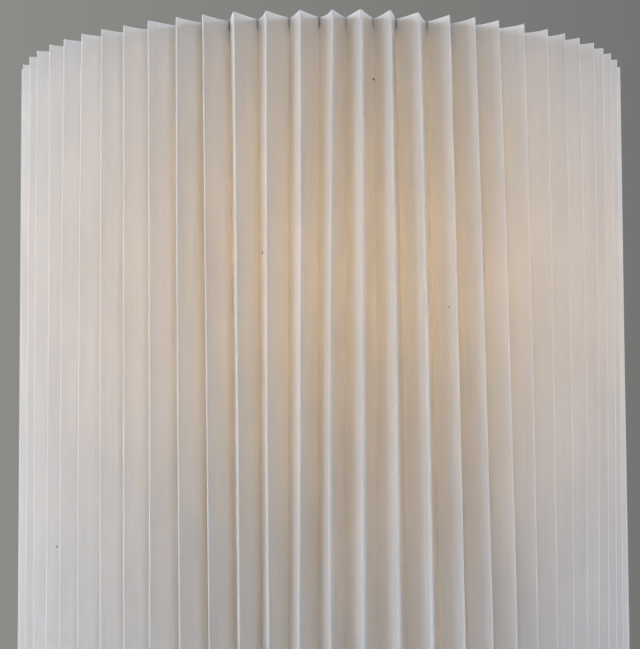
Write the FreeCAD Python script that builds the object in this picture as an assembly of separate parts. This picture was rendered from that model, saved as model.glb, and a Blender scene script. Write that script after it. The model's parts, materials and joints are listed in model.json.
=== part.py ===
import FreeCAD, Part
import math
import os

from FreeCAD import Vector as V

os.makedirs("parts", exist_ok=True)

# Pleated paper table lamp. Millimetres, +Z up, origin at the middle of the underside.
# The front is -Y and the cord inlet is at the back, +Y.

# ---- driving dimensions -------------------------------------------------
RIM_Z = 560.0            # top edge of the paper
HEM_Z = 260.0            # bottom edge of the paper
SHADE_R = 150.0          # over the outer folds
PLEATS = 68              # outer folds round the whole shade
PLEAT_DEPTH = 17.0       # radial depth of a pleat
PAPER_T = 0.4            # laminated paper
LAP_SHARE = 0.72         # how far the glued lap runs down its face

BAND_H = 8.0             # card bands inside the folds
BAND_T = 0.4
RING_R = 1.6             # wire of the two rings
TOP_RING_Z = 557.2
BOTTOM_RING_Z = 262.8

HUB_Z = 545.5            # underside of the carrier's washer
HUB_R = 13.0
HUB_T = 1.8
ARM_R = 1.5

FELT_R, FELT_T = 67.0, 2.0
PLINTH_R, PLINTH_TOP = 75.0, 27.0
RECESS_R, RECESS_TOP = 32.0, 16.0
INLET_Z = 9.5            # axis of the cord hole
INLET_HOLE_R = 5.0
GROMMET_BORE_R = 3.4

PIPE_R, PIPE_BORE_R = 5.1, 3.6   # 1/8 IP lamp pipe
PIPE_CLEAR = 0.15
PIPE_BOTTOM, PIPE_TOP = 7.0, 329.0

VASE_FOOT_Z, VASE_TOP_Z = 28.5, 216.0
NECK_TOP_Z = 312.0

SADDLE_Z = 318.0         # top of the harp saddle's strip
POST_X = 31.0            # harp leg spacing / 2 at the saddle
WIRE_R = 2.0
HARP_X = 57.0            # half the harp's width
HARP_TOP_Z = 541.0       # wire's centre line at the top
LAP_Z0, LAP_Z1 = 331.0, 341.0

CAP_Z = 322.0            # underside of the socket cap
SHELL_TOP = 392.0
KNOB_Z = 358.0
SOCKET_R = 19.0

TIP_Z = 369.8            # lowest point of the bulb


# ---- helpers ------------------------------------------------------------
def save(name, *shapes):
    s = shapes[0] if len(shapes) == 1 else Part.makeCompound(list(shapes))
    for q in s.Solids:
        if not q.isValid() or q.Volume <= 0:
            raise RuntimeError("bad solid in " + name)
    s.exportStep("parts/" + name + ".step")
    b = s.BoundBox
    print("%-22s solids %d  vol %.1f  z %.2f..%.2f" % (name, len(s.Solids), s.Volume, b.ZMin, b.ZMax))


def wire_of(points):
    """Closed wire in the XZ plane. A plain pair is a corner; ('arc', mid, end) bows to end; ('spline', [points], t0, t1) is a smooth curve."""
    edges = []
    cur = points[0]
    first = cur

    def v(p):
        return V(p[0], 0, p[1])

    for p in points[1:] + [first]:
        if p[0] == "arc":
            edges.append(Part.Arc(v(cur), v(p[1]), v(p[2])).toShape())
            cur = p[2]
        elif p[0] == "spline":
            pts = [v(cur)] + [v(q) for q in p[1]]
            c = Part.BSplineCurve()
            if p[2] is not None:
                c.interpolate(Points=pts, InitialTangent=v(p[2]), FinalTangent=v(p[3]))
            else:
                c.interpolate(Points=pts)
            edges.append(c.toShape())
            cur = p[1][-1]
        else:
            if math.hypot(p[0] - cur[0], p[1] - cur[1]) > 1e-7:
                edges.append(Part.LineSegment(v(cur), v(p)).toShape())
            cur = p
    return Part.Wire(edges)


def turned(points):
    f = Part.Face(wire_of(points))
    s = f.revolve(V(0, 0, 0), V(0, 0, 1), 360)
    s = Part.Solid(s.Shells[0]) if s.ShapeType != "Solid" else s
    if s.Volume < 0:
        s.reverse()
    return s


def ring_solid(r0, r1, z0, z1):
    return Part.makeCylinder(r1, z1 - z0, V(0, 0, z0)).cut(Part.makeCylinder(r0, z1 - z0 + 2, V(0, 0, z0 - 1)))


def tube_along(points, r):
    """Round wire through points in order: straight runs with a tangent arc at each inner point. points are (xyz, arc radius)."""
    edges = []
    start = V(*points[0][0])
    cur = start
    for i in range(1, len(points) - 1):
        p, rad = V(*points[i][0]), points[i][1]
        a = (V(*points[i - 1][0]) - p).normalize()
        b = (V(*points[i + 1][0]) - p).normalize()
        half = a.getAngle(b) / 2.0
        d = rad / math.tan(half)
        t0, t1 = p + a * d, p + b * d
        mid = (a + b).normalize()
        centre = p + mid * (rad / math.sin(half))
        m = centre - mid * rad
        if (t0 - cur).Length > 1e-6:
            edges.append(Part.LineSegment(cur, t0).toShape())
        edges.append(Part.Arc(t0, m, t1).toShape())
        cur = t1
    end = V(*points[-1][0])
    edges.append(Part.LineSegment(cur, end).toShape())
    w = Part.Wire(edges)
    d0 = (V(*points[1][0]) - start).normalize()
    prof = Part.Wire([Part.makeCircle(r, start, d0)])
    return w.makePipeShell([prof], True, False)


def hexagon(af, z0, z1, bore):
    r = af / math.sqrt(3)
    pts = [V(r * math.cos(math.radians(60 * k)), r * math.sin(math.radians(60 * k)), z0) for k in range(7)]
    body = Part.Face(Part.makePolygon(pts)).extrude(V(0, 0, z1 - z0))
    cone = turned([(0, z0), (af / 2 * 0.98, z0), (r + 0.3, z0 + 0.9), (r + 0.3, z1 - 0.9), (af / 2 * 0.98, z1), (0, z1)])
    return body.common(cone).cut(Part.makeCylinder(bore, z1 - z0 + 2, V(0, 0, z0 - 1)))


# ---- base ---------------------------------------------------------------
save("felt_pad", Part.makeCylinder(FELT_R, FELT_T, V(0, 0, 0)))

plinth = turned([
    (PIPE_R + 0.3, RECESS_TOP), (RECESS_R, RECESS_TOP), (RECESS_R, FELT_T), (PLINTH_R - 2.5, FELT_T),
    ("arc", (PLINTH_R - 0.7, FELT_T + 0.8), (PLINTH_R, FELT_T + 2.6)), (PLINTH_R, 15.5),
    ("arc", (PLINTH_R - 1.9, 20.2), (PLINTH_R - 6.5, 22.0)), (PLINTH_R - 9.0, 22.0), (PLINTH_R - 9.0, 23.6),
    ("arc", (PLINTH_R - 11.6, 24.6), (PLINTH_R - 12.8, PLINTH_TOP)), (PIPE_R + 0.3, PLINTH_TOP),
])
plinth = plinth.cut(Part.makeCylinder(INLET_HOLE_R, 60, V(0, 25, INLET_Z), V(0, 1, 0)))
save("plinth", plinth)

# strain-relief bush pressed into the plinth's back, bore along +Y
g = turned([
    (GROMMET_BORE_R, 0), (INLET_HOLE_R - 0.05, 0), (INLET_HOLE_R - 0.05, 14.0), (6.4, 14.0),
    ("arc", (7.0, 15.2), (6.4, 16.4)), (GROMMET_BORE_R + 0.6, 16.4), (GROMMET_BORE_R, 15.8),
])
g.rotate(V(0, 0, 0), V(1, 0, 0), -90)
g.translate(V(0, PLINTH_R - 14.0 + 0.05, INLET_Z))
save("cord_grommet", g)

save("base_washer", ring_solid(PIPE_R + PIPE_CLEAR, 14.0, RECESS_TOP - 1.8, RECESS_TOP - 0.05))
save("base_nut", hexagon(17.0, RECESS_TOP - 7.4, RECESS_TOP - 1.85, PIPE_R + 0.05))
save("lamp_pipe", ring_solid(PIPE_BORE_R, PIPE_R, PIPE_BOTTOM, PIPE_TOP))
save("cork_gasket", ring_solid(9.0, 45.0, PLINTH_TOP, VASE_FOOT_Z))

# hollow glazed body
vase_outer = [(64.5, 52.0), (74.5, 78.0), (78.8, 106.0), (74.0, 136.0), (58.0, 163.0), (37.0, 184.0), (23.0, 198.0), (18.6, 206.5)]
vase_inner = [(19.5, 192.5), (33.0, 180.0), (53.5, 160.0), (69.0, 134.0), (73.6, 106.0), (69.5, 79.5), (60.0, 54.5), (48.0, 37.0)]
vase = turned([
    (7.0, VASE_FOOT_Z), (46.0, VASE_FOOT_Z), ("arc", (48.6, VASE_FOOT_Z + 0.9), (50.0, VASE_FOOT_Z + 3.5)),
    ("spline", vase_outer, (10.0, 16.0), (-1.0, 9.0)),
    ("arc", (19.6, 211.2), (18.0, VASE_TOP_Z - 0.8)), ("arc", (17.6, VASE_TOP_Z - 0.2), (16.9, VASE_TOP_Z)),
    (8.5, VASE_TOP_Z), (8.5, 202.0),
    ("spline", vase_inner, (8.0, -6.0), (-12.0, -16.0)),
    (40.0, 35.5), (7.0, 35.5),
])
save("ceramic_body", vase)

hole = PIPE_R + PIPE_CLEAR
save("vase_cap", turned([
    (hole, 211.0), (8.2, 211.0), (8.2, VASE_TOP_Z + 0.05), (20.5, VASE_TOP_Z + 0.05),
    ("arc", (21.3, VASE_TOP_Z + 0.75), (20.5, VASE_TOP_Z + 1.45)),
    ("arc", (16.0, 220.6), (10.0, 223.0)), (10.0, 224.0), (hole, 224.0),
]))
save("check_ring", turned([
    (hole, 224.0), (8.4, 224.0), ("arc", (10.2, 226.0), (8.4, 228.0)), (hole, 228.0),
]))
save("neck_tube", turned([
    (PIPE_R + 0.5, 228.0), (9.2, 228.0), (9.2, 229.6), ("arc", (7.9, 231.2), (7.5, 234.0)), (7.5, 306.0),
    ("arc", (7.9, 308.8), (9.2, 310.4)), (9.2, NECK_TOP_Z), (PIPE_R + 0.5, NECK_TOP_Z),
]))
save("neck_collar", turned([
    (hole, NECK_TOP_Z), (9.6, NECK_TOP_Z), ("arc", (11.4, NECK_TOP_Z + 1.9), (9.6, SADDLE_Z - 2.1)), (hole, SADDLE_Z - 2.1),
]))

# ---- harp saddle, with a post at each end -------------------------------
strip = Part.makeBox(2 * POST_X, 13.0, 2.0, V(-POST_X, -6.5, SADDLE_Z - 2.0))
for s in (-1, 1):
    strip = strip.fuse(Part.makeCylinder(6.5, 2.0, V(s * POST_X, 0, SADDLE_Z - 2.0)))
strip = strip.removeSplitter()
strip = strip.cut(Part.makeCylinder(hole, 4, V(0, 0, SADDLE_Z - 3)))
saddle = strip
for s in (-1, 1):
    post = Part.makeCylinder(WIRE_R, LAP_Z1 - SADDLE_Z + 1.0, V(s * POST_X, 0, SADDLE_Z - 1.0))
    lap = Part.makeBox(10, 10, LAP_Z1 - LAP_Z0 + 1, V(s * (POST_X + 0.1) - (10 if s > 0 else 0), -5, LAP_Z0))
    post = post.cut(lap)
    collar = turned([(0, 325.8), (2.9, 325.8), (3.6, 326.5), (3.6, 328.3), (2.9, 329.0), (0, 329.0)])
    collar.translate(V(s * POST_X, 0, 0))
    saddle = saddle.fuse([post, collar])
saddle = saddle.removeSplitter()
save("harp_saddle", saddle)
save("saddle_nut", hexagon(16.0, SADDLE_Z + 0.1, SADDLE_Z + 3.7, PIPE_R + 0.05))

# ---- lampholder ---------------------------------------------------------
cap = turned([
    (PIPE_R + 0.05, CAP_Z), (8.2, CAP_Z), (8.2, 328.5), ("arc", (9.0, 331.0), (11.5, 332.2)),
    ("arc", (17.6, 335.4), (20.0, 341.0)), (20.0, 348.2), ("arc", (20.45, 348.65), (20.0, 349.1)),
    (19.15, 349.1), (19.15, 341.3), ("arc", (16.9, 336.2), (11.2, 333.2)), (PIPE_R + 0.05, 330.6),
])
screw_dir = V(math.cos(math.radians(50)), math.sin(math.radians(50)), 0)
cap = cap.cut(Part.makeCylinder(1.5, 6, screw_dir * 4.0 + V(0, 0, 325.4), screw_dir))
save("socket_cap", cap)

sc = Part.makeCylinder(1.45, 3.7, V(0, 0, 5.15)).fuse(Part.makeCylinder(2.4, 1.8, V(0, 0, 8.35)))
sc = sc.cut(Part.makeBox(6, 0.7, 0.9, V(-3, -0.35, 9.4))).removeSplitter()
sc.rotate(V(0, 0, 0), V(0, 1, 0), 90)
sc.rotate(V(0, 0, 0), V(0, 0, 1), 50)
sc.translate(V(0, 0, 325.4))
save("cap_set_screw", sc)

knob_cut = Part.makeCylinder(3.0, 20, V(0, -12, KNOB_Z), V(0, -1, 0))
shell = turned([
    (18.5, 343.0), (SOCKET_R, 343.0), (SOCKET_R, 350.3), ("arc", (19.5, 350.9), (SOCKET_R, 351.5)), (SOCKET_R, SHELL_TOP - 2.4),
    ("arc", (19.5, SHELL_TOP - 1.8), (SOCKET_R, SHELL_TOP - 1.2)), (SOCKET_R, SHELL_TOP), (18.5, SHELL_TOP),
])
save("socket_shell", shell.cut(knob_cut))
save("insulating_sleeve", ring_solid(17.8, 18.4, 343.5, SHELL_TOP + 1.2).cut(knob_cut))

inner = turned([
    (4.0, 346.0), (16.2, 346.0), (17.4, 347.2), (17.4, 366.0), (4.0, 366.0),
])
for s in (-1, 1):
    inner = inner.cut(Part.makeBox(8, 12, 10, V(13.2 if s > 0 else -21.2, -6, 347.0)))
    inner = inner.cut(Part.makeCylinder(1.55, 6, V(s * 8.6, 0, 352.0), V(s, 0, 0)))
inner = inner.cut(Part.makeCylinder(2.08, 14, V(0, -5.5, KNOB_Z), V(0, -1, 0)))
save("socket_interior", inner)

screws = []
for s in (-1, 1):
    q = Part.makeCylinder(1.5, 4.7, V(s * 8.7, 0, 352.0), V(s, 0, 0)).fuse(Part.makeCylinder(2.9, 1.7, V(s * 13.3, 0, 352.0), V(s, 0, 0)))
    q = q.cut(Part.makeBox(1.0, 8, 0.7, V(14.2 if s > 0 else -15.2, -4, 351.65))).removeSplitter()
    screws.append(q)
save("terminal_screws", *screws)


def thread_profile(r_in, depth, z0, n, pitch, up=True):
    """Round-topped turns of an Edison thread as a wavy line from z0."""
    out = []
    z = z0
    for _ in range(n):
        out.append(("arc", (r_in + depth, z + pitch / 2), (r_in, z + pitch)))
        z += pitch
    return out, z


# lampholder's screw shell: wavy brass, its inward crests at r 13.35
prof, ztop = thread_profile(13.75, 0.75, 369.2, 6, 3.5)
back, _ = thread_profile(13.4, 0.75, 369.2, 6, 3.5)
down = []
z = ztop
for _ in range(6):
    down.append(("arc", (13.4 + 0.75, z - 1.75), (13.4, z - 3.5)))
    z -= 3.5
save("screw_shell", turned([(8.4, 366.1), (13.75, 366.1), (13.75, 369.2)] + prof + [(13.4, ztop)] + down + [(13.4, 366.5), (8.4, 366.5)]))

# sprung brass tongue under the bulb's tip
leaf = Part.makeBox(4.4, 4.0, 0.4, V(-5.0, -2.0, 366.1)).fuse(
    Part.Face(Part.makePolygon([V(-0.7, -2, 366.1), V(3.6, -2, 369.2), V(4.4, -2, 369.2), V(4.4, -2, 369.6), V(3.3, -2, 369.6), V(-0.7, -2, 366.5), V(-0.7, -2, 366.1)])).extrude(V(0, 4, 0))
)
leaf.translate(V(-2.6, 0, 0))
save("centre_contact", leaf.removeSplitter())

# turn switch: shaft and paddle along -Y
save("switch_shaft", Part.makeCylinder(2.0, 24.0, V(0, -8.0, KNOB_Z), V(0, -1, 0)))
kn = turned([
    (2.03, 20.6), (5.2, 20.6), (5.2, 22.2), ("arc", (4.4, 23.4), (4.4, 24.8)), (4.4, 33.2), (0, 33.2), (0, 32.05), (2.03, 32.05),
])
pad = Part.makeBox(13.0, 4.6, 9.6, V(-6.5, -2.3, 24.9))
pad = pad.makeFillet(1.4, pad.Edges)
pad = pad.cut(Part.makeCylinder(2.03, 32.05 - 20, V(0, 0, 20)))
kn = kn.fuse(pad).removeSplitter()
kn.rotate(V(0, 0, 0), V(1, 0, 0), 90)
kn.translate(V(0, 0, KNOB_Z))
save("switch_knob", kn)

# ---- bulb ---------------------------------------------------------------
save("bulb_contact", turned([(0, TIP_Z), (1.4, TIP_Z), ("arc", (2.81, TIP_Z + 0.59), (3.4, TIP_Z + 2.0)), (3.4, TIP_Z + 2.2), (0, TIP_Z + 2.2)]))
save("bulb_insulator", turned([
    (0, TIP_Z + 2.25), (4.6, TIP_Z + 2.25), ("arc", (8.2, TIP_Z + 3.4), (9.6, TIP_Z + 5.6)), (9.6, TIP_Z + 6.6), (0, TIP_Z + 6.6),
]))
cap_up, z1 = thread_profile(12.25, 0.6, TIP_Z + 7.4, 5, 3.5)
cap_dn = []
z = z1
for _ in range(5):
    cap_dn.append(("arc", (11.9 + 0.6, z - 1.75), (11.9, z - 3.5)))
    z -= 3.5
save("bulb_cap", turned(
    [(9.7, TIP_Z + 5.6), (10.4, TIP_Z + 5.6), ("arc", (11.9, TIP_Z + 6.2), (12.25, TIP_Z + 7.4))] + cap_up
    + [(13.7, z1 + 1.6), (13.9, z1 + 3.6), (13.55, z1 + 3.6), (13.35, z1 + 1.8), (11.9, z1)] + cap_dn
    + [(11.9, TIP_Z + 7.4), ("arc", (11.5, TIP_Z + 6.6), (10.2, TIP_Z + 6.1)), (9.7, TIP_Z + 6.1)]
))
g0 = z1 + 1.9            # bottom of the glass, just inside the cap's mouth
glass_out = [(13.9, g0 + 6.0), (17.2, g0 + 17.0), (23.2, g0 + 29.0), (28.4, g0 + 40.5), (30.0, g0 + 52.0), (27.6, g0 + 64.0), (20.2, g0 + 74.5), (9.5, g0 + 80.2), (0.0, g0 + 81.6)]
glass_in = [(9.2, g0 + 79.3), (19.5, g0 + 73.8), (26.7, g0 + 63.6), (29.1, g0 + 52.0), (27.5, g0 + 40.8), (22.4, g0 + 29.4), (16.4, g0 + 17.4), (13.0, g0 + 6.2), (12.3, g0)]
save("bulb_glass", turned([
    (13.2, g0), ("spline", glass_out, (0.6, 6.0), (-9.0, 0.0)), (0.0, g0 + 80.7), ("spline", glass_in, (9.0, 0.0), (-0.6, -6.0)),
]))
stem_top = g0 + 34.0
save("bulb_stem", turned([
    (0, g0 + 3.0), (11.6, g0 + 3.0), ("arc", (6.6, g0 + 5.0), (4.0, g0 + 10.0)), (3.0, g0 + 24.0), (1.8, stem_top), (0, stem_top),
]))
fz = g0 + 50.0
leads = [
    tube_along([((s * 1.1, 0, stem_top + 0.05), 0), ((s * 1.1, 0, stem_top + 3.5), 5.0), ((s * 12.5, 0, fz - 1.2), 0)], 0.35)
    for s in (-1, 1)
]
save("bulb_lead_wires", *leads)
save("bulb_filament", tube_along([((-12.5, 0, fz), 0), ((-4.0, 0, fz + 5.0), 6.0), ((4.0, 0, fz + 5.0), 6.0), ((12.5, 0, fz), 0)], 0.55))

# ---- harp ---------------------------------------------------------------
leg0 = LAP_Z0 + 0.1
halves = []
for s in (-1, 1):
    h = tube_along([
        ((s * POST_X, 0, leg0), 0), ((s * POST_X, 0, 371.0), 22.0), ((s * HARP_X, 0, 420.0), 60.0),
        ((s * HARP_X, 0, HARP_TOP_Z), 46.0), ((s * 9.8, 0, HARP_TOP_Z), 0),
    ], WIRE_R)
    lap = Part.makeBox(10, 10, LAP_Z1 + 0.1 - leg0 + 1, V(s * (POST_X - 0.1) - (0 if s > 0 else 10), -5, leg0 - 1))
    halves.append(h.cut(lap))
plate = Part.makeBox(26.0, 13.0, 3.0, V(-13.0, -6.5, HARP_TOP_Z - 1.5))
plate = plate.makeFillet(4.0, [e for e in plate.Edges if abs(e.Vertexes[0].Z - e.Vertexes[1].Z) > 2])
harp = plate.fuse(halves).cut(Part.makeCylinder(3.14, 10, V(0, 0, HARP_TOP_Z - 5)))
save("harp", harp)

# screw that the shade sits on, free to turn in the harp's plate
p0, p1 = HARP_TOP_Z - 1.5, HARP_TOP_Z + 1.5
save("harp_stud", turned([
    (0, p0 - 2.0), (3.6, p0 - 2.0), ("arc", (4.6, p0 - 1.5), (4.8, p0 - 0.1)), (3.06, p0 - 0.1), (3.06, p1 + 0.1),
    (9.0, p1 + 0.1), ("arc", (9.6, p1 + 1.4), (9.0, HUB_Z - 0.1)), (3.1, HUB_Z - 0.1), (3.1, HUB_Z + 13.4), (2.5, HUB_Z + 14.0), (0, HUB_Z + 14.0),
]))
for s, name in ((-1, "ferrule_left"), (1, "ferrule_right")):
    f = turned([
        (2.28, 329.1), (3.5, 329.1), ("arc", (4.1, 329.5), (4.3, 330.2)), (4.3, 332.0), (3.9, 332.6), (3.9, 341.6), (4.3, 342.2),
        (4.3, 344.0), ("arc", (4.1, 344.7), (3.5, 345.1)), (2.28, 345.1),
    ])
    f.translate(V(s * POST_X, 0, 0))
    save(name, f)

# ---- shade --------------------------------------------------------------
STEP = 2 * math.pi / PLEATS
half_fold = math.atan(math.tan(STEP / 2) * (SHADE_R - PLEAT_DEPTH / 2) / PLEAT_DEPTH)
MITRE = PAPER_T / 2 / math.sin(half_fold)
R_OUT = SHADE_R - MITRE
R_IN = R_OUT - PLEAT_DEPTH + MITRE
print("pleat half angle %.2f deg, centre line %.2f..%.2f" % (math.degrees(half_fold), R_IN, R_OUT))


def polar(r, a):
    return V(r * math.cos(a), r * math.sin(a), HEM_Z)


def sheet_solid(line):
    """Upright sheet of PAPER_T along a folded line, with mitred folds."""
    n = len(line)
    dirs = [(line[i + 1] - line[i]).normalize() for i in range(n - 1)]

    def side(sign):
        out = []
        for i in range(n):
            d0 = dirs[max(i - 1, 0)]
            d1 = dirs[min(i, n - 2)]
            n0 = V(-d0.y, d0.x, 0)
            n1 = V(-d1.y, d1.x, 0)
            m = (n0 + n1).normalize()
            out.append(line[i] + m * (sign * PAPER_T / 2 / m.dot(n0)))
        return out

    pts = side(1) + side(-1)[::-1]
    return Part.Face(Part.makePolygon(pts + [pts[0]])).extrude(V(0, 0, RIM_Z - HEM_Z))


def panel(start):
    """Half the shade, from an outer fold at angle start, and a glued lap that runs on behind the first face of the other half."""
    pts = []
    for k in range(PLEATS + 1):
        pts.append(polar(R_OUT if k % 2 == 0 else R_IN, start + k * STEP / 2))
    nxt = polar(R_IN, start + (PLEATS + 1) * STEP / 2)
    top, before = pts[-1], pts[-2]
    face = (nxt - top).normalize()
    own = (before - top).normalize()
    gap = PAPER_T + 0.05
    fold = top + own * (gap / math.sin(face.getAngle(own)))
    pts[-1] = fold
    pts.append(fold + face * ((nxt - top).Length * LAP_SHARE))
    return sheet_solid(pts)


seam = STEP / 2
save("pleated_panel_front", panel(math.pi + seam))
save("pleated_panel_back", panel(seam))

inner_tip = R_IN - MITRE
band_out = inner_tip - 0.06
for name, zc in (("inner_band_top", RIM_Z - 0.8 - BAND_H / 2), ("inner_band_bottom", HEM_Z + 0.8 + BAND_H / 2)):
    save(name, ring_solid(band_out - BAND_T, band_out, zc - BAND_H / 2, zc + BAND_H / 2))
ring_major = band_out - BAND_T - 0.04 - RING_R
save("top_ring", Part.makeTorus(ring_major, RING_R, V(0, 0, TOP_RING_Z)))
save("bottom_ring", Part.makeTorus(ring_major, RING_R, V(0, 0, BOTTOM_RING_Z)))

save("spider_hub", turned([
    (3.5, HUB_Z), (HUB_R - 0.4, HUB_Z), (HUB_R, HUB_Z + 0.4), (HUB_R, HUB_Z + HUB_T - 0.4), (HUB_R - 0.4, HUB_Z + HUB_T), (3.5, HUB_Z + HUB_T),
]))
arms = []
arm_z = HUB_Z + HUB_T / 2
for deg in (90, 210, 330):
    a = math.radians(deg)
    c, s = math.cos(a), math.sin(a)
    r_end = ring_major - 0.6
    q = tube_along([
        ((c * (HUB_R - 3), s * (HUB_R - 3), arm_z), 0), ((c * 108, s * 108, arm_z), 18.0), ((c * r_end, s * r_end, TOP_RING_Z), 0),
    ], ARM_R)
    q = q.cut(Part.makeCylinder(HUB_R + 0.03, 10, V(0, 0, HUB_Z - 4)))
    q = q.cut(Part.makeTorus(ring_major, RING_R + 0.03, V(0, 0, TOP_RING_Z)))
    arms.append(max(q.Solids, key=lambda t: t.Volume))
save("spider_arms", *arms)

# ---- finial -------------------------------------------------------------
F = HUB_Z + HUB_T + 0.1
save("finial", turned([
    (3.2, F), (7.4, F), ("arc", (8.0, F + 0.9), (7.4, F + 1.8)), ("arc", (5.3, F + 2.7), (4.7, F + 4.6)),
    ("arc", (4.9, F + 5.6), (5.6, F + 6.2)), ("arc", (8.4, F + 12.2), (5.4, F + 18.4)),
    ("arc", (2.6, F + 19.3), (1.9, F + 20.9)), ("arc", (1.45, F + 22.2), (0.5, F + 22.8)), (0, F + 22.8), (0, F + 14.4), (3.2, F + 13.6),
]))
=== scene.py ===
import json
import math
import random

import bpy
import numpy as np
from mathutils import Matrix, Vector


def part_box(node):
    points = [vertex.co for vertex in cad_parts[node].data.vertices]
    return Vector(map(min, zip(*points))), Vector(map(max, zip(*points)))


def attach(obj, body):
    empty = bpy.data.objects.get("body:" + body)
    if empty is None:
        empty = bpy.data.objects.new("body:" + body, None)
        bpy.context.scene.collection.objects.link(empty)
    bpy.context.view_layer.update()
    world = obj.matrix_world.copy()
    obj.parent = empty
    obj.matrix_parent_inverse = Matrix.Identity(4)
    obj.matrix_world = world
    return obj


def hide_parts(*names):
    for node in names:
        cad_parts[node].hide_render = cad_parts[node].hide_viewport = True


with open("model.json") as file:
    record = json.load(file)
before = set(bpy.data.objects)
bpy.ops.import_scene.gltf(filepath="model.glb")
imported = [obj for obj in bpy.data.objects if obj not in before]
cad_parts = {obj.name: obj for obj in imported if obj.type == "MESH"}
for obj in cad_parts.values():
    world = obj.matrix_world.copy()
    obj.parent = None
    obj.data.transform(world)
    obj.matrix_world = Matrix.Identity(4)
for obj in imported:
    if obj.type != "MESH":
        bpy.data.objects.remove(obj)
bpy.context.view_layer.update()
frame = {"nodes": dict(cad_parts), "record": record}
scene = bpy.context.scene
nodes = frame["nodes"]

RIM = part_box("pleated_panel_front")[1].z
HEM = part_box("pleated_panel_front")[0].z
R = 0.150

# ---------------------------------------------------------------- camera
scene.view_settings.view_transform = "Standard"
scene.view_settings.look = "None"
cam_data = bpy.data.cameras.new("camera")
cam = bpy.data.objects.new("camera", cam_data)
scene.collection.objects.link(cam)
cam_data.sensor_fit = "HORIZONTAL"
cam_data.sensor_width = 36.0
cam_data.lens = 2107.0 / 640.0 * 36.0
cam_data.clip_start = 0.02
cam_data.clip_end = 60.0
pitch, yaw, roll = math.radians(4.58), math.radians(-0.05), math.radians(-0.26)
look = Vector((math.sin(yaw) * math.cos(pitch), math.cos(yaw) * math.cos(pitch), math.sin(pitch)))
right = Vector((math.cos(yaw), -math.sin(yaw), 0))
up = right.cross(look)
right2 = right * math.cos(roll) + up * math.sin(roll)
up2 = -right * math.sin(roll) + up * math.cos(roll)
m = Matrix((right2, up2, -look)).transposed().to_4x4()
m.translation = Vector((0, -7.0 * R, RIM - 1.397 * R))
cam.matrix_world = m
scene.camera = cam


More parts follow.
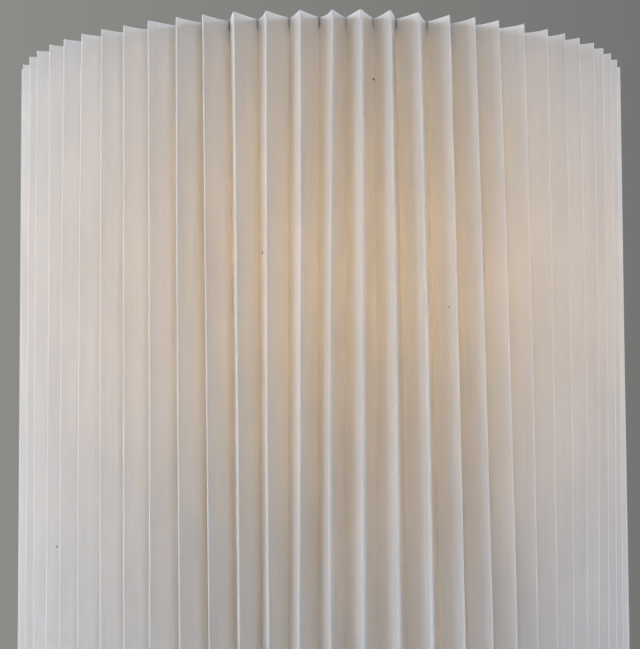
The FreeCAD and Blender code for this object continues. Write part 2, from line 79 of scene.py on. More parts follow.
# ---------------------------------------------------------------- material helpers
class Mat:
    def __init__(self, name):
        self.m = bpy.data.materials.new(name)
        self.m.use_nodes = True
        self.t = self.m.node_tree
        self.t.nodes.clear()
        self.out = self.t.nodes.new("ShaderNodeOutputMaterial")
        self._coord = None

    def n(self, kind, **kw):
        node = self.t.nodes.new(kind)
        for k, v in kw.items():
            if k in node.inputs.keys() and not hasattr(type(node), k):
                node.inputs[k].default_value = v
            else:
                setattr(node, k, v)
        return node

    def link(self, a, b):
        self.t.links.new(a, b)

    def set(self, node, **kw):
        for k, v in kw.items():
            node.inputs[k.replace("_", " ")].default_value = v
        return node

    def coord(self):
        if self._coord is None:
            self._coord = self.t.nodes.new("ShaderNodeTexCoord").outputs["Object"]
        return self._coord

    def mapped(self, scale, rot=(0, 0, 0), loc=(0, 0, 0)):
        mp = self.t.nodes.new("ShaderNodeMapping")
        mp.inputs["Scale"].default_value = scale
        mp.inputs["Rotation"].default_value = rot
        mp.inputs["Location"].default_value = loc
        self.link(self.coord(), mp.inputs["Vector"])
        return mp.outputs["Vector"]

    def noise(self, scale, detail=3.0, rough=0.5, stretch=(1, 1, 1), distort=0.0, loc=(0, 0, 0)):
        tex = self.t.nodes.new("ShaderNodeTexNoise")
        tex.inputs["Scale"].default_value = scale
        tex.inputs["Detail"].default_value = detail
        tex.inputs["Roughness"].default_value = rough
        tex.inputs["Distortion"].default_value = distort
        self.link(self.mapped(stretch, loc=loc), tex.inputs["Vector"])
        return tex.outputs["Fac"]

    def ramp(self, fac, stops, mode="LINEAR"):
        r = self.t.nodes.new("ShaderNodeValToRGB")
        r.color_ramp.interpolation = mode
        el = r.color_ramp.elements
        while len(el) < len(stops):
            el.new(0.5)
        for e, (p, c) in zip(el, stops):
            e.position = p
            e.color = c if len(c) == 4 else (*c, 1)
        self.link(fac, r.inputs["Fac"])
        return r.outputs["Color"]

    def remap(self, fac, lo, hi, a=0.0, b=1.0):
        r = self.t.nodes.new("ShaderNodeMapRange")
        r.inputs["From Min"].default_value = lo
        r.inputs["From Max"].default_value = hi
        r.inputs["To Min"].default_value = a
        r.inputs["To Max"].default_value = b
        self.link(fac, r.inputs["Value"])
        return r.outputs["Result"]

    def math(self, op, a, b=None):
        r = self.t.nodes.new("ShaderNodeMath")
        r.operation = op
        for i, v in enumerate((a, b)):
            if v is None:
                continue
            if isinstance(v, (int, float)):
                r.inputs[i].default_value = v
            else:
                self.link(v, r.inputs[i])
        return r.outputs[0]

    def mixc(self, fac, a, b, mode="MIX"):
        r = self.t.nodes.new("ShaderNodeMix")
        r.data_type = "RGBA"
        r.blend_type = mode
        for sock, v in ((r.inputs["Factor"], fac), (r.inputs[6], a), (r.inputs[7], b)):
            if isinstance(v, (int, float)):
                sock.default_value = v
            elif isinstance(v, tuple):
                sock.default_value = v if len(v) == 4 else (*v, 1)
            else:
                self.link(v, sock)
        return r.outputs[2]

    def bump(self, height, strength, distance, normal=None):
        b = self.t.nodes.new("ShaderNodeBump")
        b.inputs["Strength"].default_value = strength
        b.inputs["Distance"].default_value = distance
        self.link(height, b.inputs["Height"])
        if normal is not None:
            self.link(normal, b.inputs["Normal"])
        return b.outputs["Normal"]

    def principled(self, **kw):
        p = self.t.nodes.new("ShaderNodeBsdfPrincipled")
        for k, v in kw.items():
            k = k.replace("_", " ")
            if isinstance(v, (int, float)):
                p.inputs[k].default_value = v
            elif isinstance(v, tuple):
                p.inputs[k].default_value = v if len(v) != 3 or k == "Normal" else (*v, 1)
            else:
                self.link(v, p.inputs[k])
        return p

    def surface(self, shader):
        self.link(shader.outputs[0] if hasattr(shader, "outputs") else shader, self.out.inputs["Surface"])
        return self.m


def srgb(r, g, b):
    return tuple((c / 255 / 12.92) if c / 255 <= 0.04045 else ((c / 255 + 0.055) / 1.055) ** 2.4 for c in (r, g, b))


# ---------------------------------------------------------------- paper
SPECKS = ((0.0233, 0.5323, 0.00055), (-0.0258, 0.4549, 0.00045), (-0.1220, 0.3266, 0.00045), (0.0556, 0.4313, 0.00035))


def paper_material(name, seed=0.0, through=0.26, tint=(1.0, 0.93, 0.80)):
    k = Mat(name)
    cloud = k.noise(34.0, 4.0, 0.55, stretch=(1, 1, 0.55), loc=(seed, 0, 0))          # uneven thickness, seen against the lamp
    streak = k.noise(520.0, 3.0, 0.6, stretch=(1, 1, 0.045), loc=(0, seed, 0))        # laid lines along the folds
    fibre = k.noise(1500.0, 2.0, 0.7, stretch=(1, 1, 0.35), distort=0.6)
    tone = k.math("ADD", k.remap(streak, 0.25, 0.75, -0.5, 0.5), k.remap(fibre, 0.2, 0.8, -0.35, 0.35))
    tone = k.math("ADD", tone, k.remap(cloud, 0.3, 0.7, -0.5, 0.5))
    fac = k.remap(tone, -1.2, 1.2, 0.0, 1.0)
    base = k.ramp(fac, [(0.0, (0.81, 0.80, 0.785)), (0.5, (0.865, 0.858, 0.85)), (1.0, (0.905, 0.90, 0.893))])
    # a few dark specks in the pulp: scattered ones, and the four that show from the front
    cell = k.t.nodes.new("ShaderNodeTexVoronoi")
    cell.feature = "F1"
    cell.inputs["Scale"].default_value = 17.0
    k.link(k.mapped((1, 1, 1), loc=(seed * 3.1, 0.37, 0.11)), cell.inputs["Vector"])
    spot = k.remap(cell.outputs["Distance"], 0.007, 0.012, 0.7, 0.0)
    flat = k.mapped((1, 0, 1))
    for x, z, r in SPECKS:
        d = k.t.nodes.new("ShaderNodeVectorMath")
        d.operation = "DISTANCE"
        k.link(flat, d.inputs[0])
        d.inputs[1].default_value = (x, 0, z)
        spot = k.math("MAXIMUM", spot, k.remap(d.outputs["Value"], r * 0.6, r * 1.25, 0.85, 0.0))
    base = k.mixc(spot, base, (0.13, 0.10, 0.08))
    # painted shade: the inner folds are painted dark grey for a few millimetres below the rim, where they are nicked,
    # standing in for the shadow inside the nick
    xyz = k.t.nodes.new("ShaderNodeSeparateXYZ")
    k.link(k.coord(), xyz.inputs[0])
    rad = k.math("SQRT", k.math("ADD", k.math("MULTIPLY", xyz.outputs["X"], xyz.outputs["X"]), k.math("MULTIPLY", xyz.outputs["Y"], xyz.outputs["Y"])))
    nick_shade = k.math("MULTIPLY", k.remap(rad, 0.1339, 0.1353, 1.0, 0.0), k.remap(xyz.outputs["Z"], RIM - 0.0056, RIM - 0.0036, 0.0, 1.0))
    nick_shade = k.math("MULTIPLY", nick_shade, k.remap(k.noise(55.0, 2.0, 0.5, loc=(seed, 0.2, 0)), 0.38, 0.58, 0.3, 0.75))
    # painted shadow of the nicks mixed into the paper colour
    base = k.mixc(nick_shade, base, (0.17, 0.155, 0.17))
    height = k.math("ADD", k.math("MULTIPLY", streak, 0.6), k.math("MULTIPLY", fibre, 0.5))
    nrm = k.bump(height, 0.35, 0.00012)
    front = k.principled(Base_Color=base, Roughness=0.86, Specular_IOR_Level=0.22, Normal=nrm)
    tr = k.t.nodes.new("ShaderNodeBsdfTranslucent")
    k.link(k.mixc(1.0, base, tint, "MULTIPLY"), tr.inputs["Color"])
    k.link(nrm, tr.inputs["Normal"])
    mix = k.t.nodes.new("ShaderNodeMixShader")
    mix.inputs["Fac"].default_value = through
    k.link(front.outputs[0], mix.inputs[1])
    k.link(tr.outputs[0], mix.inputs[2])
    return k.surface(mix)


# Azimuths of the outer folds seen from the front, in degrees from -Y towards +X, at the rim, half way down and at the hem.
FOLD_TOP = [-76.4, -69.2, -64.0, -57.8, -52.2, -46.7, -41.4, -36.1, -30.7, -25.1, -20.1, -14.6, -9.1, -3.4, 2.0, 6.7, 11.7, 16.7, 22.3, 27.1, 32.0, 37.7, 43.4, 48.3, 53.0, 58.6, 63.3, 68.5, 74.4, 81.8]
FOLD_MID = [-76.4, -69.5, -64.4, -57.7, -52.7, -47.2, -41.5, -35.9, -30.3, -24.8, -19.5, -14.1, -9.1, -3.6, 1.3, 6.6, 12.1, 17.5, 23.3, 28.4, 33.5, 38.7, 43.8, 48.9, 53.6, 58.5, 63.0, 68.0, 72.6, 79.3]
FOLD_HEM = [-76.4, -69.3, -64.1, -58.1, -52.6, -47.0, -41.1, -35.6, -30.2, -24.2, -18.9, -13.7, -8.9, -4.1, 1.1, 6.4, 12.2, 18.0, 24.2, 29.6, 34.6, 39.3, 44.0, 48.4, 52.5, 56.8, 61.3, 65.7, 70.7, 76.7]
# How far an inner fold stands off the middle between its two outer folds, in degrees, where it can be seen: fold number to (rim, hem).
INNER_SHIFT = {10: (-0.1, -0.1), 11: (-0.1, -0.2), 12: (0.4, -0.1), 13: (0.5, 0.3), 14: (0.5, 0.3), 15: (0.9, 0.75), 16: (0.2, 0.95), 17: (1.25, 1.4), 18: (0.9, 1.0), 19: (0.6, 0.7), 20: (0.4, 0.5), 21: (0.3, 0.3), 22: (0.2, 0.2)}
PLEATS = 68
PAPER = 0.0004
FACET = 0.0003          # flat of a creased outer fold
rng = random.Random(20)


def fold_table():
    """Per outer fold 0..67: azimuths at rim, middle, hem; and the same for the inner fold that follows it."""
    top, mid, hem = list(FOLD_TOP), list(FOLD_MID), list(FOLD_HEM)
    n = len(top)
    rest = PLEATS - n
    for lst in (top, mid, hem):
        gap = (lst[0] + 360 - lst[n - 1]) / (rest + 1)
        first, last = lst[1] - lst[0], lst[n - 1] - lst[n - 2]
        base = [lst[n - 1] + gap * (i + 1) for i in range(rest)]
        lst.extend(base)
    wob = [rng.uniform(-0.35, 0.35) for _ in range(rest)]
    lean = [rng.uniform(-0.45, 0.45) for _ in range(rest)]
    for i in range(rest):
        edge = min(1.0, min(i + 1, rest - i) / 3)
        top[n + i] += edge * wob[i]
        mid[n + i] += edge * (wob[i] + 0.5 * lean[i])
        hem[n + i] += edge * (wob[i] + lean[i])
    outer = list(zip(top, mid, hem))
    inner = []
    for k in range(PLEATS):
        a, b = outer[k], outer[(k + 1) % PLEATS]
        b = tuple(v + (360 if k == PLEATS - 1 else 0) for v in b)
        s = INNER_SHIFT.get(k, (rng.uniform(-0.3, 0.3), rng.uniform(-0.3, 0.3)))
        sh = (s[0], (s[0] + s[1]) / 2, s[1])
        inner.append(tuple((a[j] + b[j]) / 2 + sh[j] for j in range(3)))
    return outer, inner


OUTER, INNER = fold_table()


def quad(v, s):
    """Through v[0] at s=0, v[1] at 0.5, v[2] at 1."""
    a, b, c = v
    return a * (1 - s) * (1 - 2 * s) + b * 4 * s * (1 - s) + c * s * (2 * s - 1)


class Wave:
    """Slow wander along the height."""

    def __init__(self, amp):
        self.p = [(amp * rng.uniform(0.3, 1) / (i + 1), rng.uniform(1.2, 2.2) * (i + 1), rng.uniform(0, 6.28)) for i in range(4)]

    def __call__(self, s):
        return sum(a * math.sin(f * math.pi * s + p) for a, f, p in self.p)


WANDER = [Wave(0.018) for _ in range(PLEATS)]
WANDER_IN = [Wave(0.035) for _ in range(PLEATS)]
RADIAL = [rng.uniform(-0.0005, 0.0) for _ in range(PLEATS)]
RADIAL_IN = [rng.uniform(0.0, 0.0006) for _ in range(PLEATS)]
BOW_R = [(rng.uniform(-0.00025, 0.0003), rng.uniform(-0.00025, 0.0003)) for _ in range(PLEATS)]
BOW_L = [(rng.uniform(-0.00025, 0.0003), rng.uniform(-0.00025, 0.0003)) for _ in range(PLEATS)]
CUT = [rng.uniform(-0.00035, 0.0) for _ in range(PLEATS * 2)]
NICK = [rng.uniform(0.0016, 0.0034) for _ in range(PLEATS)]      # the crease is nicked open at the rim, where the inner fold was pressed
HOLLOW = [rng.uniform(0.0002, 0.0008) for _ in range(PLEATS * 2)]      # each face's cut edge sags a little between its folds
CURL = [(rng.uniform(-0.0004, 0.0004), rng.uniform(-0.0004, 0.0004)) for _ in range(PLEATS)]


def ring_point(radius, deg):
    a = math.radians(deg)
    return np.array((radius * math.sin(a), -radius * math.cos(a)))


def outer_at(k, s):
    turn, k = divmod(k, PLEATS)
    return ring_point(R - 0.0002 - 0.00015 + RADIAL[k], quad(OUTER[k], s) + WANDER[k](s) + 360 * turn)


def inner_at(k, s):
    turn, k = divmod(k, PLEATS)
    return ring_point(0.1330 + RADIAL_IN[k], quad(INNER[k], s) + WANDER_IN[k](s) + 360 * turn)


FACE_T = (0.0, 0.045, 0.12, 0.24, 0.38, 0.52, 0.66, 0.80, 0.90, 0.96, 1.0)


def face_points(a, b, bow, skip_ends=False):
    d = b - a
    nrm = np.array((-d[1], d[0])) / np.linalg.norm(d)
    return [a + d * t + nrm * bow * math.sin(math.pi * t) for t in (FACE_T[1:-1] if skip_ends else FACE_T)]


def section(first, count, s):
    """Middle line of one panel at height s: from outer fold first over count pleats, then the glued lap behind the next panel. Also a share for the cut edge's height."""
    pts, cut, nick = [], [], []

    def put(p, c, deep=0.0):
        pts.append(p)
        cut.append(c)
        nick.append(deep)

    corner = 0.00010
    for i in range(count):
        k = first + i
        kk = k % PLEATS
        p, v, q = outer_at(k, s), inner_at(k, s), outer_at(k + 1, s)
        tang = np.array((-p[1], p[0])) / np.linalg.norm(p)
        tang_q = np.array((-q[1], q[0])) / np.linalg.norm(q)
        a = p + tang * (FACET / 2) if i else p
        b = q - tang_q * (FACET / 2)
        vr = v / np.linalg.norm(v)
        tv = np.array((-vr[1], vr[0]))
        v0 = v1 = v
        c0, c1 = CUT[2 * kk], CUT[2 * kk + 1]
        nxt = CUT[(2 * kk + 2) % (2 * PLEATS)]
        edge = max(0.0, 1 - s * 12)
        right_face = face_points(a, v0, BOW_R[kk][0] * (1 - s) + BOW_R[kk][1] * s + CURL[kk][0] * edge)
        left_face = face_points(v1, b, BOW_L[kk][0] * (1 - s) + BOW_L[kk][1] * s + CURL[kk][1] * edge)
        L = np.linalg.norm(v0 - a)
        for j, q_ in enumerate(right_face):
            if j == 0 and i:
                q_ = a + (v0 - a) / L * corner
            put(q_, c0 + (c1 - c0) * FACE_T[j] - HOLLOW[2 * kk] * math.sin(math.pi * FACE_T[j]) ** 0.7, NICK[kk] if j == len(right_face) - 1 else 0.0)
        L = np.linalg.norm(b - v1)
        last = i == count - 1
        for j, q_ in enumerate(left_face):
            if j == 0:
                continue
            if j == len(left_face) - 1:
                if last:
                    break
                q_ = b - (b - v1) / L * corner
            put(q_, c1 + (nxt - c1) * FACE_T[j] - HOLLOW[2 * kk + 1] * math.sin(math.pi * FACE_T[j]) ** 0.7)
        if not last:
            b2 = q + tang_q * (FACET / 2)
            put(b + tang_q * corner, nxt)
            put(q, nxt, 0.0006)
            put(b2 - tang_q * corner, nxt)
        else:
            # the last fold tucks in behind the next panel's first face
            vn = inner_at(k + 1, s)
            face = (vn - q) / np.linalg.norm(vn - q)
            own = (v1 - q) / np.linalg.norm(v1 - q)
            ang = math.acos(max(-1, min(1, float(face @ own))))
            fold = q + own * ((PAPER + 0.0001) / math.sin(ang))
            reach = np.linalg.norm(vn - q)
            for t in (0.0, 0.04, 0.2, 0.45, 0.70):
                put(fold + face * reach * t, nxt)
    return np.array(pts), np.array(cut), np.array(nick)


def panel(name, first, count, rows, seam_first):
    levels = [0.0, 0.0012, 0.004] + [0.004 + (0.992) * (i + 1) / rows for i in range(rows)]
    levels = [x for x in levels if x < 0.9985] + [0.9988, 1.0]
    grid = []
    for s in levels:
        c, cut, nick = section(first, count, s)
        d = np.diff(c, axis=0)
        d /= np.linalg.norm(d, axis=1)[:, None]
        nn = np.stack((-d[:, 1], d[:, 0]), 1)
        a = np.vstack((nn[:1], nn))
        b = np.vstack((nn, nn[-1:]))
        mvec = a + b
        mvec /= np.linalg.norm(mvec, axis=1)[:, None]
        off = mvec * (PAPER / 2 / np.maximum((mvec * a).sum(1), 0.3))[:, None]
        z = RIM - s * (RIM - HEM)
        lift = cut * max(0.0, 1 - s * 25) - 0.6 * cut * max(0.0, 1 - (1 - s) * 25) - nick * (s < 0.01)
        zz = np.clip(z + lift, HEM, RIM)
        grid.append((np.column_stack((c + off, zz)), np.column_stack((c - off, zz))))
    n = len(grid[0][0])
    rows_n = len(grid)
    co = np.concatenate([np.concatenate((g[0], g[1])) for g in grid])
    idx = lambda r, side, i: (r * 2 + side) * n + i
    faces = []
    for r in range(rows_n - 1):
        for i in range(n - 1):
            faces.append((idx(r, 0, i), idx(r, 0, i + 1), idx(r + 1, 0, i + 1), idx(r + 1, 0, i)))
            faces.append((idx(r, 1, i), idx(r + 1, 1, i), idx(r + 1, 1, i + 1), idx(r, 1, i + 1)))
        faces.append((idx(r, 0, 0), idx(r + 1, 0, 0), idx(r + 1, 1, 0), idx(r, 1, 0)))
        faces.append((idx(r, 0, n - 1), idx(r, 1, n - 1), idx(r + 1, 1, n - 1), idx(r + 1, 0, n - 1)))
    for i in range(n - 1):
        faces.append((idx(0, 0, i), idx(0, 1, i), idx(0, 1, i + 1), idx(0, 0, i + 1)))
        faces.append((idx(rows_n - 1, 0, i), idx(rows_n - 1, 0, i + 1), idx(rows_n - 1, 1, i + 1), idx(rows_n - 1, 1, i)))
    me = bpy.data.meshes.new(name)
    me.from_pydata([tuple(map(float, p)) for p in co], [], faces)
    me.validate()
    import bmesh
    bm = bmesh.new()
    bm.from_mesh(me)
    bmesh.ops.recalc_face_normals(bm, faces=bm.faces)
    bm.to_mesh(me)
    bm.free()
    me.polygons.foreach_set("use_smooth", [True] * len(me.polygons))
    me.set_sharp_from_angle(angle=math.radians(14))
    me.update()
    ob = bpy.data.objects.new(name, me)
    scene.collection.objects.link(ob)
    return ob


ROWS = 40
front = panel("folded_paper_front", -3, 34, ROWS, True)
back = panel("folded_paper_back", 31, 34, ROWS, True)
paper_mat = paper_material("shade_paper")
for ob, node in ((front, "pleated_panel_front"), (back, "pleated_panel_back")):
    ob.data.materials.append(paper_mat)
    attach(ob, "shade")
    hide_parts(node)


# ---------------------------------------------------------------- finishes of the carried-over nodes
def turned_metal(name, base, dark, rough, lines=0.10, scale=3200.0, metallic=1.0):
    """Lathe-turned or drawn metal: fine rings about the lamp's axis, soft tarnish and handling marks."""
    k = Mat(name)
    rings = k.noise(1.0, 2.0, 0.6, stretch=(18, 18, scale))
    cloud = k.noise(60.0, 4.0, 0.6)
    marks = k.noise(420.0, 3.0, 0.65, distort=0.8)
    col = k.mixc(k.remap(cloud, 0.35, 0.75, 0.0, 0.75), base, dark)
    col = k.mixc(k.remap(rings, 0.3, 0.7, 0.0, 0.12), col, dark)
    r = k.math("ADD", k.remap(cloud, 0.3, 0.75, rough - 0.04, rough + 0.10), k.remap(marks, 0.4, 0.8, 0.0, 0.07))
    nrm = k.bump(rings, lines, 0.00006)
    nrm = k.bump(marks, 0.05, 0.0001, nrm)
    return k.surface(k.principled(Base_Color=col, Metallic=metallic, Roughness=r, Normal=nrm))


def coated_wire(name):
    k = Mat(name)
    peel = k.noise(1900.0, 2.0, 0.5)
    dirt = k.noise(70.0, 4.0, 0.6)
    col = k.ramp(dirt, [(0.3, (0.80, 0.785, 0.75)), (0.7, (0.87, 0.86, 0.835))])
    return k.surface(k.principled(Base_Color=col, Roughness=k.remap(dirt, 0.3, 0.7, 0.34, 0.46), Specular_IOR_Level=0.45, Normal=k.bump(peel, 0.18, 0.00008)))


def glaze(name):
    """Thick off-white glaze over iron-bearing clay: fine specks, pooling low down and thinning to warm brown on the lip and foot."""
    k = Mat(name)
    sep = k.t.nodes.new("ShaderNodeSeparateXYZ")
    k.link(k.coord(), sep.inputs[0])
    z = sep.outputs["Z"]
    flow = k.noise(16.0, 5.0, 0.6, stretch=(1, 1, 0.45), distort=0.7)
    mott = k.noise(150.0, 4.0, 0.6)
    body = k.ramp(flow, [(0.28, (0.66, 0.665, 0.62)), (0.5, (0.745, 0.74, 0.695)), (0.75, (0.80, 0.79, 0.75))])
    body = k.mixc(k.remap(mott, 0.35, 0.7, 0.0, 0.16), body, (0.60, 0.56, 0.48))
    for scale, size, strength, off in ((210.0, 0.17, 0.8, 0.0), (90.0, 0.10, 0.65, 3.0)):
        cell = k.t.nodes.new("ShaderNodeTexVoronoi")
        cell.inputs["Scale"].default_value = scale
        k.link(k.mapped((1, 1, 1), loc=(off, off, off)), cell.inputs["Vector"])
        pick = k.t.nodes.new("ShaderNodeSeparateColor")
        k.link(cell.outputs["Color"], pick.inputs[0])
        some = k.remap(pick.outputs[0], 0.72, 0.74, 0.0, 1.0)
        spot = k.math("MULTIPLY", k.remap(cell.outputs["Distance"], size * 0.6, size * 1.3, strength, 0.0), some)
        body = k.mixc(spot, body, (0.20, 0.13, 0.075))
    wob = k.math("ADD", z, k.remap(flow, 0.3, 0.7, -0.004, 0.004))
    lip = k.remap(wob, 0.2085, 0.2150, 0.0, 0.85)
    foot = k.remap(wob, 0.0440, 0.0310, 0.0, 0.9)
    body = k.mixc(k.math("MAXIMUM", lip, foot), body, (0.30, 0.175, 0.095))
    peel = k.noise(55.0, 3.0, 0.5)
    pin = k.noise(900.0, 1.0, 0.5)
    nrm = k.bump(peel, 0.10, 0.0012)
    nrm = k.bump(pin, 0.04, 0.0002, nrm)
    rough = k.math("ADD", k.remap(mott, 0.3, 0.7, 0.16, 0.24), k.math("MULTIPLY", foot, 0.25))
    return k.surface(k.principled(Base_Color=body, Roughness=rough, Specular_IOR_Level=0.5, Coat_Weight=0.35, Coat_Roughness=0.08, Normal=nrm))


def turned_wood(name):
    """Oiled walnut, cut from a board: the rings run as long arcs through the whole solid."""
    k = Mat(name)
    warp = k.t.nodes.new("ShaderNodeTexNoise")
    warp.inputs["Scale"].default_value = 9.0
    warp.inputs["Detail"].default_value = 3.0
    k.link(k.mapped((1.0, 0.25, 1.0)), warp.inputs["Vector"])
    sh = k.t.nodes.new("ShaderNodeVectorMath")
    sh.operation = "MULTIPLY_ADD"
    k.link(warp.outputs["Color"], sh.inputs[0])
    sh.inputs[1].default_value = (0.022, 0.05, 0.022)
    k.link(k.mapped((1, 1, 1), rot=(0.10, 0.22, 0.35), loc=(0.07, 0, -0.085)), sh.inputs[2])
    wave = k.t.nodes.new("ShaderNodeTexWave")
    wave.wave_type = "RINGS"
    wave.rings_direction = "Y"
    wave.inputs["Scale"].default_value = 68.0
    wave.inputs["Distortion"].default_value = 2.4
    wave.inputs["Detail"].default_value = 3.0
    wave.inputs["Detail Scale"].default_value = 1.5
    k.link(sh.outputs[0], wave.inputs["Vector"])
    fine = k.t.nodes.new("ShaderNodeTexNoise")
    fine.inputs["Scale"].default_value = 900.0
    fine.inputs["Detail"].default_value = 4.0
    k.link(k.mapped((1.0, 0.035, 1.0), rot=(0.10, 0.22, 0.35)), fine.inputs["Vector"])
    broad = k.noise(14.0, 3.0, 0.5, stretch=(1, 0.4, 1))
    f = fine.outputs["Fac"]
    late = k.remap(wave.outputs["Fac"], 0.55, 0.98, 0.0, 1.0)
    col = k.ramp(f, [(0.28, (0.120, 0.064, 0.034)), (0.5, (0.175, 0.098, 0.052)), (0.72, (0.235, 0.138, 0.076))])
    col = k.mixc(k.math("MULTIPLY", late, k.remap(broad, 0.35, 0.65, 0.25, 0.62)), col, (0.072, 0.037, 0.020))
    col = k.mixc(k.remap(k.noise(9.0, 2.0, 0.5, stretch=(1, 0.3, 1), loc=(0.4, 0, 0)), 0.4, 0.65, 0.0, 0.4), col, (0.27, 0.165, 0.095))
    pore = k.remap(fine.outputs["Fac"], 0.30, 0.42, 1.0, 0.0)
    col = k.mixc(k.math("MULTIPLY", pore, 0.5), col, (0.035, 0.018, 0.010))
    nrm = k.bump(fine.outputs["Fac"], 0.22, 0.00025)
    return k.surface(k.principled(Base_Color=col, Roughness=k.remap(f, 0.2, 0.8, 0.36, 0.50), Specular_IOR_Level=0.4, Coat_Weight=0.12, Coat_Roughness=0.30, Normal=nrm))


def cork(name):
    k = Mat(name)
    cell = k.t.nodes.new("ShaderNodeTexVoronoi")
    cell.inputs["Scale"].default_value = 620.0
    k.link(k.coord(), cell.inputs["Vector"])
    pick = k.t.nodes.new("ShaderNodeSeparateColor")
    k.link(cell.outputs["Color"], pick.inputs[0])
    col = k.ramp(pick.outputs[0], [(0.0, (0.20, 0.11, 0.055)), (0.35, (0.42, 0.27, 0.15)), (1.0, (0.58, 0.40, 0.24))])
    return k.surface(k.principled(Base_Color=col, Roughness=0.9, Specular_IOR_Level=0.15, Normal=k.bump(cell.outputs["Distance"], 0.5, 0.0003)))


def felt(name):
    k = Mat(name)
    fuzz = k.noise(1300.0, 4.0, 0.75, distort=1.5)
    blot = k.noise(90.0, 3.0, 0.5)
    col = k.ramp(fuzz, [(0.3, (0.018, 0.030, 0.020)), (0.7, (0.055, 0.085, 0.060))])
    col = k.mixc(k.remap(blot, 0.3, 0.7, 0.0, 0.3), col, (0.025, 0.035, 0.026))
    return k.surface(k.principled(Base_Color=col, Roughness=0.95, Specular_IOR_Level=0.1, Sheen_Weight=0.5, Sheen_Roughness=0.5, Normal=k.bump(fuzz, 0.8, 0.0006)))


def moulded(name, base, light, rough, spec=0.5, grain=900.0):
    k = Mat(name)
    a = k.noise(grain, 2.0, 0.5)
    b = k.noise(45.0, 4.0, 0.6)
    col = k.mixc(k.remap(b, 0.3, 0.75, 0.0, 0.6), base, light)
    return k.surface(k.principled(Base_Color=col, Roughness=k.remap(b, 0.3, 0.7, rough, rough + 0.12), Specular_IOR_Level=spec, Normal=k.bump(a, 0.12, 0.0001)))


def fibre_board(name, dark, light):
    k = Mat(name)
    a = k.noise(700.0, 4.0, 0.7, stretch=(1, 1, 0.25), distort=1.0)
    col = k.ramp(a, [(0.25, dark), (0.75, light)])
    return k.surface(k.principled(Base_Color=col, Roughness=0.72, Specular_IOR_Level=0.25, Normal=k.bump(a, 0.3, 0.0002)))


def lit_glass(name, centre_z):
    """Inside-frosted lamp glass with the lamp on: brightest round the filament, and clear to the light that shines from inside it."""
    k = Mat(name)
    sep = k.t.nodes.new("ShaderNodeVectorMath")
    sep.operation = "DISTANCE"
    k.link(k.coord(), sep.inputs[0])
    sep.inputs[1].default_value = (0, 0, centre_z)
    hot = k.ramp(k.remap(sep.outputs["Value"], 0.024, 0.056), [(0.0, (1.0, 0.80, 0.56)), (0.45, (0.95, 0.70, 0.45)), (1.0, (0.50, 0.33, 0.20))])
    frost = k.noise(1100.0, 2.0, 0.6)
    p = k.principled(Base_Color=(0.86, 0.85, 0.82), Roughness=k.remap(frost, 0.3, 0.7, 0.28, 0.42), Specular_IOR_Level=0.5, Emission_Color=hot, Emission_Strength=LAMP_GLOW, Normal=k.bump(frost, 0.15, 0.0001))
    clear = k.t.nodes.new("ShaderNodeBsdfTransparent")
    ray = k.t.nodes.new("ShaderNodeLightPath")
    mix = k.t.nodes.new("ShaderNodeMixShader")
    k.link(ray.outputs["Is Shadow Ray"], mix.inputs["Fac"])
    k.link(p.outputs[0], mix.inputs[1])
    k.link(clear.outputs[0], mix.inputs[2])
    return k.surface(mix)


def clear_glass(name):
    k = Mat(name)
    ripple = k.noise(120.0, 2.0, 0.5)
    return k.surface(k.principled(Base_Color=(0.95, 0.98, 0.97), Roughness=k.remap(ripple, 0.3, 0.7, 0.02, 0.06), IOR=1.5, Transmission_Weight=0.85, Normal=k.bump(ripple, 0.05, 0.0003)))


LAMP_GLOW = 1.5
BRASS, BRASS_DARK = (0.72, 0.50, 0.235), (0.46, 0.29, 0.125)
finish = {
    "card_band": fibre_board("card", (0.74, 0.72, 0.68), (0.84, 0.82, 0.785)),
    "white_wire": coated_wire("coated_wire"),
    "brass": turned_metal("lacquered_brass", BRASS, BRASS_DARK, 0.27),
    "bright_brass": turned_metal("polished_brass", (0.78, 0.56, 0.28), (0.55, 0.36, 0.165), 0.16, lines=0.06),
    "steel": turned_metal("zinc_plate", (0.56, 0.56, 0.56), (0.40, 0.39, 0.36), 0.34),
    "phenolic": moulded("phenolic", (0.020, 0.016, 0.014), (0.050, 0.036, 0.028), 0.24),
    "fibre": fibre_board("vulcanised_fibre", (0.085, 0.052, 0.032), (0.20, 0.135, 0.085)),
    "glaze": glaze("stoneware_glaze"),
    "turned_wood": turned_wood("oiled_walnut"),
    "cork": cork("cork_sheet"),
    "felt": felt("wool_felt"),
    "rubber_bush": moulded("rubber", (0.016, 0.016, 0.016), (0.032, 0.031, 0.030), 0.58, 0.3, 1400.0),
    "lamp_glass": lit_glass("frosted_lamp_glass", 0.4486),
    "clear_glass": clear_glass("clear_lamp_glass"),
    "cap_aluminium": turned_metal("drawn_aluminium", (0.70, 0.70, 0.71), (0.52, 0.52, 0.53), 0.26),
    "black_glass": moulded("black_glass", (0.010, 0.010, 0.012), (0.018, 0.017, 0.020), 0.08, 0.6),
    "solder": turned_metal("solder", (0.52, 0.52, 0.53), (0.36, 0.36, 0.37), 0.36),
    "filament_wire": turned_metal("drawn_tungsten", (0.34, 0.33, 0.32), (0.22, 0.21, 0.21), 0.40),
    "pleated_paper": paper_mat,
}
slot_of = {s["node"]: s["material_slot"] for s in frame["record"]["subparts"]}
for name, ob in nodes.items():
    mat = finish[slot_of.get(name, name)]
    if len(ob.material_slots) == 0:
        ob.data.materials.append(mat)
    for sl in ob.material_slots:
        sl.material = mat

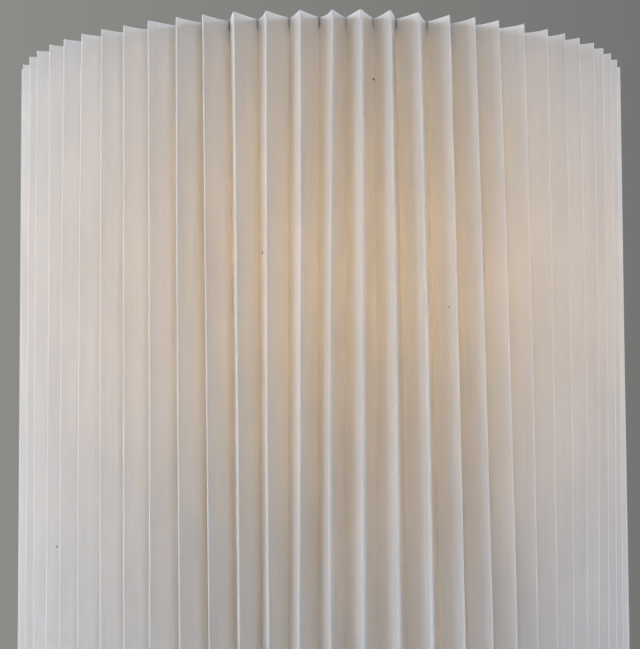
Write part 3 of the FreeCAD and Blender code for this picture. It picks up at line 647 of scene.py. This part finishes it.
# ---------------------------------------------------------------- stage and light
bpy.ops.mesh.primitive_circle_add(vertices=160, radius=2.4, fill_type="NGON", location=(0, 0, -0.0002))
floor = bpy.context.object
floor.name = "floor"
fl = Mat("floor_painted_falloff")
grain = fl.noise(40.0, 3.0, 0.5)
# painted light falloff: the floor colour is painted darker from 0.45 m to 2.3 m out from the lamp, a painted pool of
# light round it
reach = fl.t.nodes.new("ShaderNodeVectorMath")
reach.operation = "LENGTH"
fl.link(fl.coord(), reach.inputs[0])
pale = fl.ramp(grain, [(0.3, (0.61, 0.60, 0.58)), (0.7, (0.64, 0.63, 0.61))])
floor.data.materials.append(fl.surface(fl.principled(Base_Color=fl.mixc(fl.remap(reach.outputs["Value"], 0.45, 2.3, 0.0, 0.82), pale, (0.16, 0.16, 0.155)), Roughness=0.8, Specular_IOR_Level=0.1)))

world = bpy.data.worlds.new("studio")
scene.world = world
world.use_nodes = True
wt = world.node_tree
wt.nodes.clear()
wo = wt.nodes.new("ShaderNodeOutputWorld")
bg = wt.nodes.new("ShaderNodeBackground")
tc = wt.nodes.new("ShaderNodeTexCoord")
sp = wt.nodes.new("ShaderNodeSeparateXYZ")
mr = wt.nodes.new("ShaderNodeMapRange")
mr.inputs["From Min"].default_value = -0.15
mr.inputs["From Max"].default_value = 0.15
rp = wt.nodes.new("ShaderNodeValToRGB")
rp.color_ramp.elements[0].position = 0.0
rp.color_ramp.elements[0].color = (0.262, 0.264, 0.246, 1)
rp.color_ramp.elements[1].position = 1.0
rp.color_ramp.elements[1].color = (0.176, 0.177, 0.172, 1)
wt.links.new(tc.outputs["Generated"], sp.inputs[0])
wt.links.new(sp.outputs["X"], mr.inputs["Value"])
wt.links.new(mr.outputs["Result"], rp.inputs["Fac"])
wt.links.new(rp.outputs["Color"], bg.inputs["Color"])
bg.inputs["Strength"].default_value = 1.0
wt.links.new(bg.outputs[0], wo.inputs["Surface"])


def area(name, loc, target, size, power, color=(1, 1, 1)):
    d = bpy.data.lights.new(name, "AREA")
    d.shape = "RECTANGLE"
    d.size, d.size_y = size
    d.energy = power
    d.color = color
    o = bpy.data.objects.new(name, d)
    scene.collection.objects.link(o)
    o.location = loc
    o.rotation_euler = (Vector(target) - Vector(loc)).to_track_quat("-Z", "Y").to_euler()
    o.visible_camera = False
    return o


def around(name, azimuth, size, power, color, elevation=10.0, distance=3.2):
    """A soft light on a circle round the lamp: azimuth from -Y towards +X."""
    a, e = math.radians(azimuth), math.radians(elevation)
    area(name, (distance * math.sin(a) * math.cos(e), -distance * math.cos(a) * math.cos(e), 0.42 + distance * math.sin(e)), (0, 0, 0.42), (size, 1.6), power, color)


DAYLIGHT = (0.755, 0.843, 1.0)
COOLER = (0.70, 0.80, 1.0)
around("left_back", -102, 2.4, 80.0, DAYLIGHT)
around("left_front", -59, 2.4, 38.0, DAYLIGHT)
around("front", 5, 1.6, 28.0, DAYLIGHT)
around("right", 97, 2.4, 86.0, COOLER)

bulb = bpy.data.lights.new("bulb_light", "POINT")
bulb.energy = 1.66
bulb.color = (1.0, 0.69, 0.265)
bulb.shadow_soft_size = 0.010
bo = bpy.data.objects.new("bulb_light", bulb)
scene.collection.objects.link(bo)
bo.location = (0.010, -0.017, 0.4486)
bo.visible_camera = False
